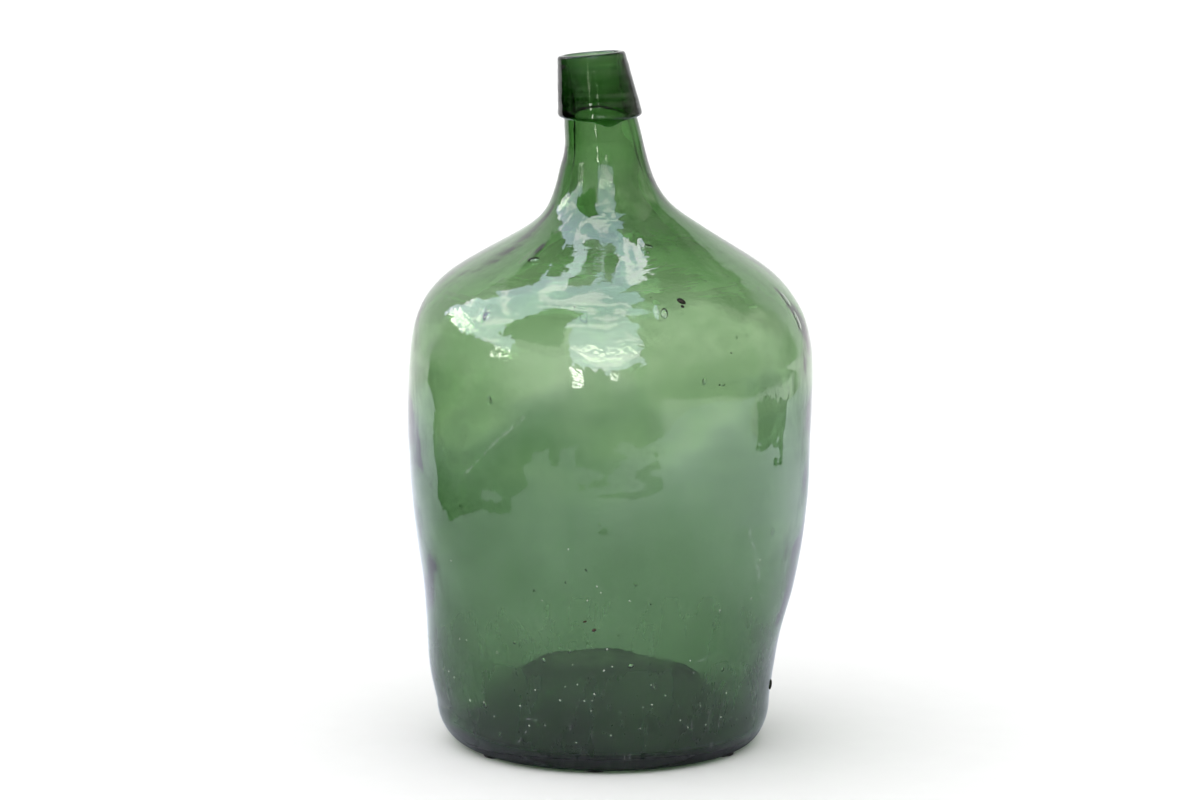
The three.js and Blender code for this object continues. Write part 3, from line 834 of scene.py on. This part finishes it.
def glass_material(name, absorb, body):
    material, graph = new_material(name)
    at = glass_places(graph)
    if body:
        gloss = at.height.ramp((325.0, 372.0), to=(1.0, 0.40))
    else:
        # the tool's turns break the reflections on the lip into dashes
        gloss = graph.noise(at.coords, scale=150.0, detail=3.0, rough=0.6,
                            stretch=(0.12, 0.12, 2.6)).ramp((0.45, 0.54), to=(0.06, 0.42))
    # cords: streaks of slightly different glass drawn out up the wall
    cords = graph.noise(at.coords, scale=60.0, detail=3.0, rough=0.55, stretch=(1, 1, 0.12),
                        distortion=0.6)
    wear = outer_wear(graph, at, body)
    haze = inner_film(graph, at) + wear * at.outside
    surface = graph.signal("BsdfPrincipled", {
        # where lip and neck are one mass a ray goes straight on, and only the tint goes on
        "IOR": at.free * 0.52 + 1.0,
        "Specular Tint": gloss,
        "Base Color": graph.mix(cords.ramp((0.42, 0.70)) * at.free, (1, 1, 1), CORD_TINT),
        "Transmission Weight": (1.0 - haze * at.free).clamp(),
        "Roughness": glass_roughness(graph, at, wear, body),
        "Normal": glass_relief(graph, at, body)})
    density = max(absorb)
    volume = graph.signal("VolumeAbsorption", {
        "Density": density, "Color": tuple(1 - channel / density for channel in absorb)})
    graph.node("OutputMaterial", {"Surface": surface, "Volume": volume})
    return material


# ------------------------------------------------------------------ grains and rubber
def grain_material(name, dark, light, scale):
    material, graph = new_material(name)
    coords = graph.signal("TexCoord", output="Object")
    grain = graph.noise(coords, scale=scale, detail=4.0, rough=0.65).ramp((0.40, 0.68))
    rough = graph.noise(coords, scale=scale * 2, detail=3.0).ramp((0.3, 0.7), to=(0.5, 0.9))
    surface = graph.signal("BsdfPrincipled", {
        "Base Color": graph.mix(grain, dark, light), "Roughness": rough,
        "Specular IOR Level": 0.12})
    graph.node("OutputMaterial", {"Surface": surface})
    return material


def rubber_material():
    """Black rubber with fine pale dust."""
    material, graph = new_material("black_rubber_pad")
    coords = graph.signal("TexCoord", output="Object")
    dust = graph.noise(coords, scale=700.0, detail=4.0, rough=0.6).ramp((0.5, 0.72))
    rough = graph.noise(coords, scale=1200.0, detail=3.0).ramp((0.3, 0.7), to=(0.55, 0.85))
    grain = graph.noise(coords, scale=3000.0, detail=3.0)
    surface = graph.signal("BsdfPrincipled", {
        "Base Color": graph.mix(dust, (0.012, 0.012, 0.013), (0.05, 0.048, 0.045)),
        "Roughness": rough, "Normal": graph.bump(grain, distance=0.00008)})
    graph.node("OutputMaterial", {"Surface": surface})
    return material


# ------------------------------------------------------------------ build
def put_in_place(thing, node):
    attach(thing, "root")
    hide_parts(node)


vessel = build_vessel()
lip = build_lip()
for vessel_material in (
        glass_material("green_bottle_glass", BODY_ABSORB, body=True),
        grain_material("stone_in_glass", dark=(0.004, 0.004, 0.003), light=(0.05, 0.045, 0.03),
                       scale=900.0),
        grain_material("rust_fleck", dark=(0.02, 0.006, 0.003), light=(0.30, 0.07, 0.03),
                       scale=700.0),
        # pale grains: painted glints standing in for seeds that catch the light
        grain_material("pale_grain_painted_glint", dark=(0.22, 0.27, 0.20), light=(0.70, 0.76, 0.64),
                       scale=1500.0)):
    vessel.data.materials.append(vessel_material)
lip.data.materials.append(glass_material("green_lip_glass", LIP_ABSORB, body=False))
put_in_place(vessel, "glass_vessel")
put_in_place(lip, "applied_lip")
rubber = rubber_material()
for node_name in sorted(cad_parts):
    if node_name.startswith("rubber_pad"):
        pad = build_pad(node_name)
        pad.data.materials.append(rubber)
        put_in_place(pad, node_name)

# ------------------------------------------------------------------ paper, metres
PAPER_IN_GLASS = 0.55  # brightness of the sheet as the glass shows it
PAINTED_SUN_RIGHT, PAPER_BEHIND = 0.55, 0.20  # painted sunlight added at the front right, and what is added far behind
PAPER_TINT = (0.80, 0.84, 0.95)  # near the carboy, what shows is a little blue
UNDER_GLASS = 0.14  # the deep shade under the carboy
MIRROR_GAIN, MIRROR_GAIN_LEFT = 0.40, 0.80  # extra in reflections, and more behind on the left
# the dark streak lying in front starts at minus this, and runs this far
STREAK_OFFSET_X, STREAK_OFFSET_Y = 0.03, 0.66
STREAK_RUN_X, STREAK_RUN_Y = 0.38, -0.115
# the sheet's edge, which lies outside the picture but shows in the glass
OUTLINE = [
    (-0.527, -0.843), (-0.57, -0.678), (-0.531, -0.572), (-0.516, -0.489), (-0.505, -0.38),
    (-0.601, -0.311), (-0.681, -0.224), (-0.611, -0.076), (-0.584, 0.066), (-0.762, 0.268),
    (-0.826, 0.354), (-0.923, 0.392), (-1.264, 0.608), (-1.6, 1.05), (-2.3, 1.5), (-4.0, 2.6),
    (-4.0, 8.0), (5.0, 8.0), (5.0, 2.6), (2.0, 1.5), (1.10, 1.03), (1.096, 0.528),
    (0.879, 0.404), (0.825, 0.297), (0.873, 0.10), (0.991, -0.034), (1.176, -0.152),
    (2.385, -0.101), (1.845, -0.921), (1.222, -1.271), (0.722, -1.126), (0.45, -1.007),
    (0.30, -0.92), (0.104, -0.996), (-0.02, -0.83), (-0.124, -0.785), (-0.224, -0.711),
    (-0.258, -0.856), (-0.244, -0.998), (-0.395, -0.883), (-0.345, -0.66), (-0.375, -0.66)]


def distance_to_streak(graph, x, y):
    squared = STREAK_RUN_X * STREAK_RUN_X + STREAK_RUN_Y * STREAK_RUN_Y
    part = ((x + STREAK_OFFSET_X) * (STREAK_RUN_X / squared)
            + (y + STREAK_OFFSET_Y) * (STREAK_RUN_Y / squared)).clamp()
    return graph.length((x + STREAK_OFFSET_X) - part * STREAK_RUN_X,
                        (y + STREAK_OFFSET_Y) - part * STREAK_RUN_Y)


def paper_material():
    """White paper. The camera sees it near white; what the glass bends or mirrors is the dimmer
    sheet, brighter at the front right, where a pool of sunlight is painted on it."""
    material, graph = new_material("white_paper")
    coords, x, y, _ = graph.coordinates()
    grain = graph.noise(coords, scale=5.0, detail=4.0, rough=0.6)
    # a pool of painted sunlight at the front right, fading towards the back
    right = (x + grain * 0.2).ramp((0.25, 0.75))
    front = y.ramp((0.2, 0.8), to=(1.0, 0.0))
    level = right * front * PAINTED_SUN_RIGHT + PAPER_IN_GLASS
    far = y.ramp((0.55, 1.4))
    level = level + far * y.ramp((2.0, 3.2), to=(1.0, 0.35)) * PAPER_BEHIND
    level = level * graph.from_axis(x, y).ramp((0.084, 0.106), to=(UNDER_GLASS, 1.0))
    # something dark lying on the sheet in front, which shows in the side as a leaf-shaped gap
    ragged = (graph.noise(coords, scale=24.0, detail=6.0, rough=0.7) - 0.5) * 0.10
    distance = distance_to_streak(graph, x, y) + ragged
    level = level * distance.ramp((0.035, 0.042), to=(0.05, 1.0))
    # what the outside mirrors is brighter than what shows through, most of all behind on the left
    left_back = (x.ramp((-0.16, -0.06), to=(1.0, 0.0)) * y.ramp((0.06, 0.40))
                 * y.ramp((0.7, 1.2), to=(1.0, 0.0)))
    light_path = graph.node("LightPath").outputs
    depth = Signal(graph, light_path["Transmission Depth"])
    mirrored = depth.ramp((0.0, 1.0), to=(1.0, 0.0), smooth=False)
    level = level * (mirrored * (left_back * MIRROR_GAIN_LEFT + MIRROR_GAIN) + 1.0)
    to_camera = graph.noise(coords, scale=40.0, detail=3.0).ramp((0.3, 0.7), to=(0.858, 0.866))
    camera_ray = Signal(graph, light_path["Is Camera Ray"])
    channels = [graph.mix(camera_ray, level * (far * (1.0 - near) + near), to_camera, "FLOAT")
                for near in PAPER_TINT]
    surface = graph.signal("BsdfDiffuse", {"Color": graph.combine(*channels)})
    graph.node("OutputMaterial", {"Surface": surface})
    return material


def torn(points, step=0.02, amount=0.012):
    """The outline with an uneven edge. Far from the carboy steps and unevenness grow."""
    rng = np.random.default_rng(5)
    edge = []
    for start, end in zip(points, points[1:] + points[:1]):
        start, end = np.array(start), np.array(end)
        along = end - start
        length = float(np.hypot(*along))
        reach = max(0.6, float(np.hypot(*(start + end)) / 2))
        count = max(1, int(length / (step * reach * 1.5)))
        side = np.array([-along[1], along[0]]) / length
        for k in range(count):
            point = start + along * k / count
            if k and reach < 2.2:
                point = point + side * rng.normal(0, amount * reach)
            edge.append((float(point[0]), float(point[1]), 0.0))
    return edge


white_paper = paper_material()
paper_edge = torn(OUTLINE)
paper = new_object("paper_floor", paper_edge, [tuple(range(len(paper_edge)))])
paper.data.materials.append(white_paper)

# ------------------------------------------------------------------ surroundings
# Angles are in degrees. Azimuth 0 is straight behind the camera, positive to its right.
PAPER_LIGHT = 1.12  # what lights the paper
CAMERA_WHITE = 1.3  # what the camera sees round the paper
PAPER_LIGHT_FROM = (-0.62, -0.25, 0.74)
# openings to the sky: azimuth range, elevation range, whether it is on both sides alike
SKY_OPENINGS = [
    ((-129, -59), (20, None), False), ((-129, 22), (49, None), False),
    ((-25, 20), (34, None), False), ((-21, 17), (18, 40), False),
    ((-129, 52), (66, None), False), (None, (78.5, None), False),
    ((148, None), (72.5, None), True), ((150, 174), (60.5, None), False),
    ((-136, -120), (48, None), False), ((-148, -130), (57, None), False)]


class Surroundings:
    """A picture of what is round the carboy, painted layer over layer. The camera's heading is
    taken off, so it stays behind the camera wherever that stands."""

    def __init__(self, graph, world_direction, backdrop):
        self.graph, self.colour = graph, backdrop
        seen = self.to_camera(world_direction)
        up = self.to_camera((0, 0, 1))
        # forward along the ground: the view axis, +Z here, less its part along up
        view_axis = (0.0, 0.0, 1.0)
        rise = graph.scaled(up, graph.dot(up, view_axis))
        ahead = graph.vector("NORMALIZE", graph.vector("SUBTRACT", view_axis, rise))
        x, y, z = (graph.dot(seen, axis) for axis in ((1.0, 0.0, 0.0), ahead, up))
        self.direction = graph.combine(x, y, z)
        self.azimuth = graph.math("ARCTAN2", x, y * -1.0) * (180 / math.pi)
        level = graph.math("MINIMUM", graph.math("MAXIMUM", z, -1.0), 1.0)
        self.elevation = graph.math("ARCSINE", level) * (180 / math.pi)
        self.ragged_azimuth = self.azimuth + (
            self.wobble(scale=2.2, degrees=9.0, detail=2.0, offset=(3, 1, 4))
            + self.wobble(scale=11.0, degrees=9.0, detail=8.0, offset=(1, 5, 9)))
        self.ragged_elevation = self.elevation + (
            self.wobble(scale=2.6, degrees=5.0, detail=2.0, offset=(2, 6, 5))
            + self.wobble(scale=13.0, degrees=8.0, detail=8.0, offset=(3, 5, 8)))

    def to_camera(self, vector):
        return self.graph.signal("VectorTransform", {0: vector}, vector_type="VECTOR",
                                 convert_from="WORLD", convert_to="CAMERA")

    def noise(self, **settings):
        return self.graph.noise(self.direction, **settings)

    def wobble(self, scale, degrees, detail, offset):
        texture = self.noise(scale=scale, detail=detail, rough=0.6, offset=offset)
        return (texture - 0.5) * (2 * degrees)

    def window(self, value, limits, soft):
        """1 between the limits, either of which may be None."""
        low, high = limits
        if low is not None:
            above = value.ramp((low - soft, low + soft))
            if high is None:
                return above
        below = 1.0 - value.ramp((high - soft, high + soft))
        return below if low is None else above * below

    def patch(self, azimuth=None, elevation=None, soft_az=0.5, soft_el=0.4, ragged=True,
              both_sides=False):
        """A mask over a range of azimuth, of elevation, or of both."""
        masks = []
        if azimuth is not None:
            value = self.ragged_azimuth if ragged else self.azimuth
            if both_sides:
                value = self.graph.math("ABSOLUTE", value)
            masks.append(self.window(value, azimuth, soft_az))
        if elevation is not None:
            value = self.ragged_elevation if ragged else self.elevation
            masks.append(self.window(value, elevation, soft_el))
        return masks[0] if len(masks) == 1 else masks[0] * masks[1]

    def paint(self, colour, mask):
        self.colour = self.graph.mix(mask, self.colour, colour)


def paint_ground_and_trees(view):
    graph, patch = view.graph, view.patch
    blotches = view.noise(scale=5.0, detail=6.0, rough=0.62, offset=(7, 3, 2))
    blotches = blotches.ramp((0.30, 0.72), to=(0.55, 1.35))
    # mottled green behind the camera, darker low down, nearly black low on the left
    view.paint(graph.scaled((0.62, 0.66, 0.57), blotches), patch((-122, 129), soft_az=5.0))
    view.paint((0.22, 0.25, 0.20), patch((-122, 129), (None, 3.0), soft_az=5.0, soft_el=4.0))
    view.paint((0.015, 0.02, 0.013), patch((-125, -24), (-40, -1.5), soft_az=0.8, soft_el=0.5))
    # a pale strip low on the right, with a dark patch at its far end
    view.paint((1.45, 1.5, 1.45),
               patch((30, 126), (-17, -5.0), soft_az=3.0, soft_el=0.8, ragged=False))
    view.paint((0.02, 0.03, 0.02), patch((93, 122), (-16, -8.5), soft_az=2.0, soft_el=0.8))
    # a pale wall on the left, brighter higher up
    wall_light = view.elevation.ramp((2.0, 45.0), to=(0.7, 2.4), smooth=False)
    view.paint(graph.scaled((1.0, 1.04, 0.93), wall_light),
               patch((-61, -22), (-1, 60), soft_az=3.0, soft_el=3.0))
    # trees on the right, darker high up and towards the back
    view.paint(graph.scaled((1.30, 1.38, 1.12), blotches),
               patch((20, 122), (12, 62), soft_az=4.0, soft_el=6.0))
    view.paint(graph.scaled((0.55, 0.62, 0.48), blotches),
               patch((110, 158), (33, 73), soft_az=2.0, soft_el=2.0))
    view.paint(graph.scaled((0.30, 0.36, 0.26), blotches),
               patch((139, 181), (45, 69), soft_az=2.0, soft_el=1.0, both_sides=True))


def paint_sky(view):
    graph = view.graph
    low_sky = view.elevation.ramp((20.0, 75.0), to=(1.0, 0.0), smooth=False)
    sky = graph.mix(low_sky, (2.95, 3.35, 4.75), (4.2, 4.25, 5.5))
    cloud = view.noise(scale=3.6, detail=9.0, rough=0.62, stretch=(1, 1, 2.6), offset=(4, 4, 1),
                       distortion=0.4).ramp((0.51, 0.565))
    sky = graph.mix(cloud * 0.62, sky, (9.0, 8.0, 9.0))
    view.paint(sky, graph.largest(
        [view.patch(azimuth, elevation, both_sides=both_sides)
         for azimuth, elevation, both_sides in SKY_OPENINGS]))
    # a leafy branch in front of the sky
    view.paint((0.03, 0.05, 0.03), view.patch((-74, -30), (30, 71)))


def paint_bright_breaks(view, depth):
    graph, patch = view.graph, view.patch
    # bright breaks low in the trees
    glint = view.noise(scale=22.0, detail=8.0, rough=0.66, stretch=(1, 1, 2.2),
                       offset=(9, 1, 1)).ramp((0.49, 0.55))
    view.paint((14.0, 14.0, 12.8), graph.largest(
        [patch(azimuth, elevation) * glint for azimuth, elevation in (
            ((-72, -60), (14, 22)), ((-126, -98), (19, 31)), ((-17, 13), (24, 32)))]))
    # wisps high up at the far side
    wisp = view.noise(scale=6.0, detail=3.0, rough=0.55, stretch=(1, 1, 2.4),
                      offset=(5, 2, 7)).ramp((0.46, 0.53))
    wisps = graph.largest([patch((-178, -141), (61, 70)), patch((160, None), (71, 75))])
    view.paint((4.6, 4.9, 5.9), wisps * wisp)
    # two tall narrow breaks, which lip and neck mirror as broken vertical streaks
    dashes = view.noise(scale=60.0, detail=3.0, rough=0.6, stretch=(0.7, 0.7, 1.6),
                        offset=(2, 8, 1)).ramp((0.46, 0.55))
    tall = graph.largest(
        [patch(azimuth, elevation, soft_az=0.8, soft_el=0.8, ragged=False) * strength
         for azimuth, elevation, strength in (
             ((-21.5, -16.0), (4.5, 16), 0.75), ((1.0, 6.5), (10.5, 16), 0.35))])
    mirrored = graph.math("LESS_THAN", depth, 0.5)
    view.paint((42.0, 42.0, 39.0), tall * dashes * mirrored)


def build_world():
    world = bpy.data.worlds.new("studio")
    bpy.context.scene.world = world
    graph = Graph(world)
    world.cycles.sampling_method = "NONE"
    light_path = graph.node("LightPath").outputs
    incoming = graph.signal("NewGeometry", output="Incoming")
    world_direction = graph.scaled(incoming, -1.0)
    view = Surroundings(graph, world_direction, backdrop=(1.06, 1.09, 1.07))
    paint_ground_and_trees(view)
    paint_sky(view)
    paint_bright_breaks(view, Signal(graph, light_path["Transmission Depth"]))
    # the paper is lit softly, a little more from the upper left, so the shadow falls to the right
    side = graph.dot(world_direction, tuple(Vector(PAPER_LIGHT_FROM).normalized()))
    soft = side.ramp((-0.4, 1.0), to=(0.62, 1.5), smooth=False)
    surface, paper_light, camera_white = (
        graph.signal("Background", {"Color": colour, "Strength": strength})
        for colour, strength in (
            (view.colour, 1.0), (graph.scaled((1.0, 1.0, 1.0), soft), PAPER_LIGHT),
            ((1.0, 1.0, 1.0), CAMERA_WHITE)))
    for ray, light in (("Is Diffuse Ray", paper_light), ("Is Camera Ray", camera_white)):
        is_ray = Signal(graph, light_path[ray])
        surface = graph.signal("MixShader", {0: is_ray, 1: surface, 2: light})
    graph.node("OutputWorld", {"Surface": surface})


build_world()

# ------------------------------------------------------------------ camera
CAMERA_X = FOOT_CENTRE[0] - 3.6  # mm
CAMERA_DISTANCE, CAMERA_Z, TARGET_Z = 3000.0, 737.0, 209.3

camera_data = bpy.data.cameras.new("camera")
camera = bpy.data.objects.new("camera", camera_data)
bpy.context.scene.collection.objects.link(camera)
camera_data.sensor_width = 36.0
camera_data.lens = 151.04
camera_data.clip_end = 50
target = Vector((CAMERA_X, FOOT_CENTRE[1], TARGET_Z)) / 1000
camera.location = Vector((CAMERA_X, FOOT_CENTRE[1] - CAMERA_DISTANCE, CAMERA_Z)) / 1000
camera.rotation_euler = (target - camera.location).to_track_quat("-Z", "Y").to_euler()
bpy.context.scene.camera = camera
bpy.context.scene.view_settings.view_transform = "Standard"
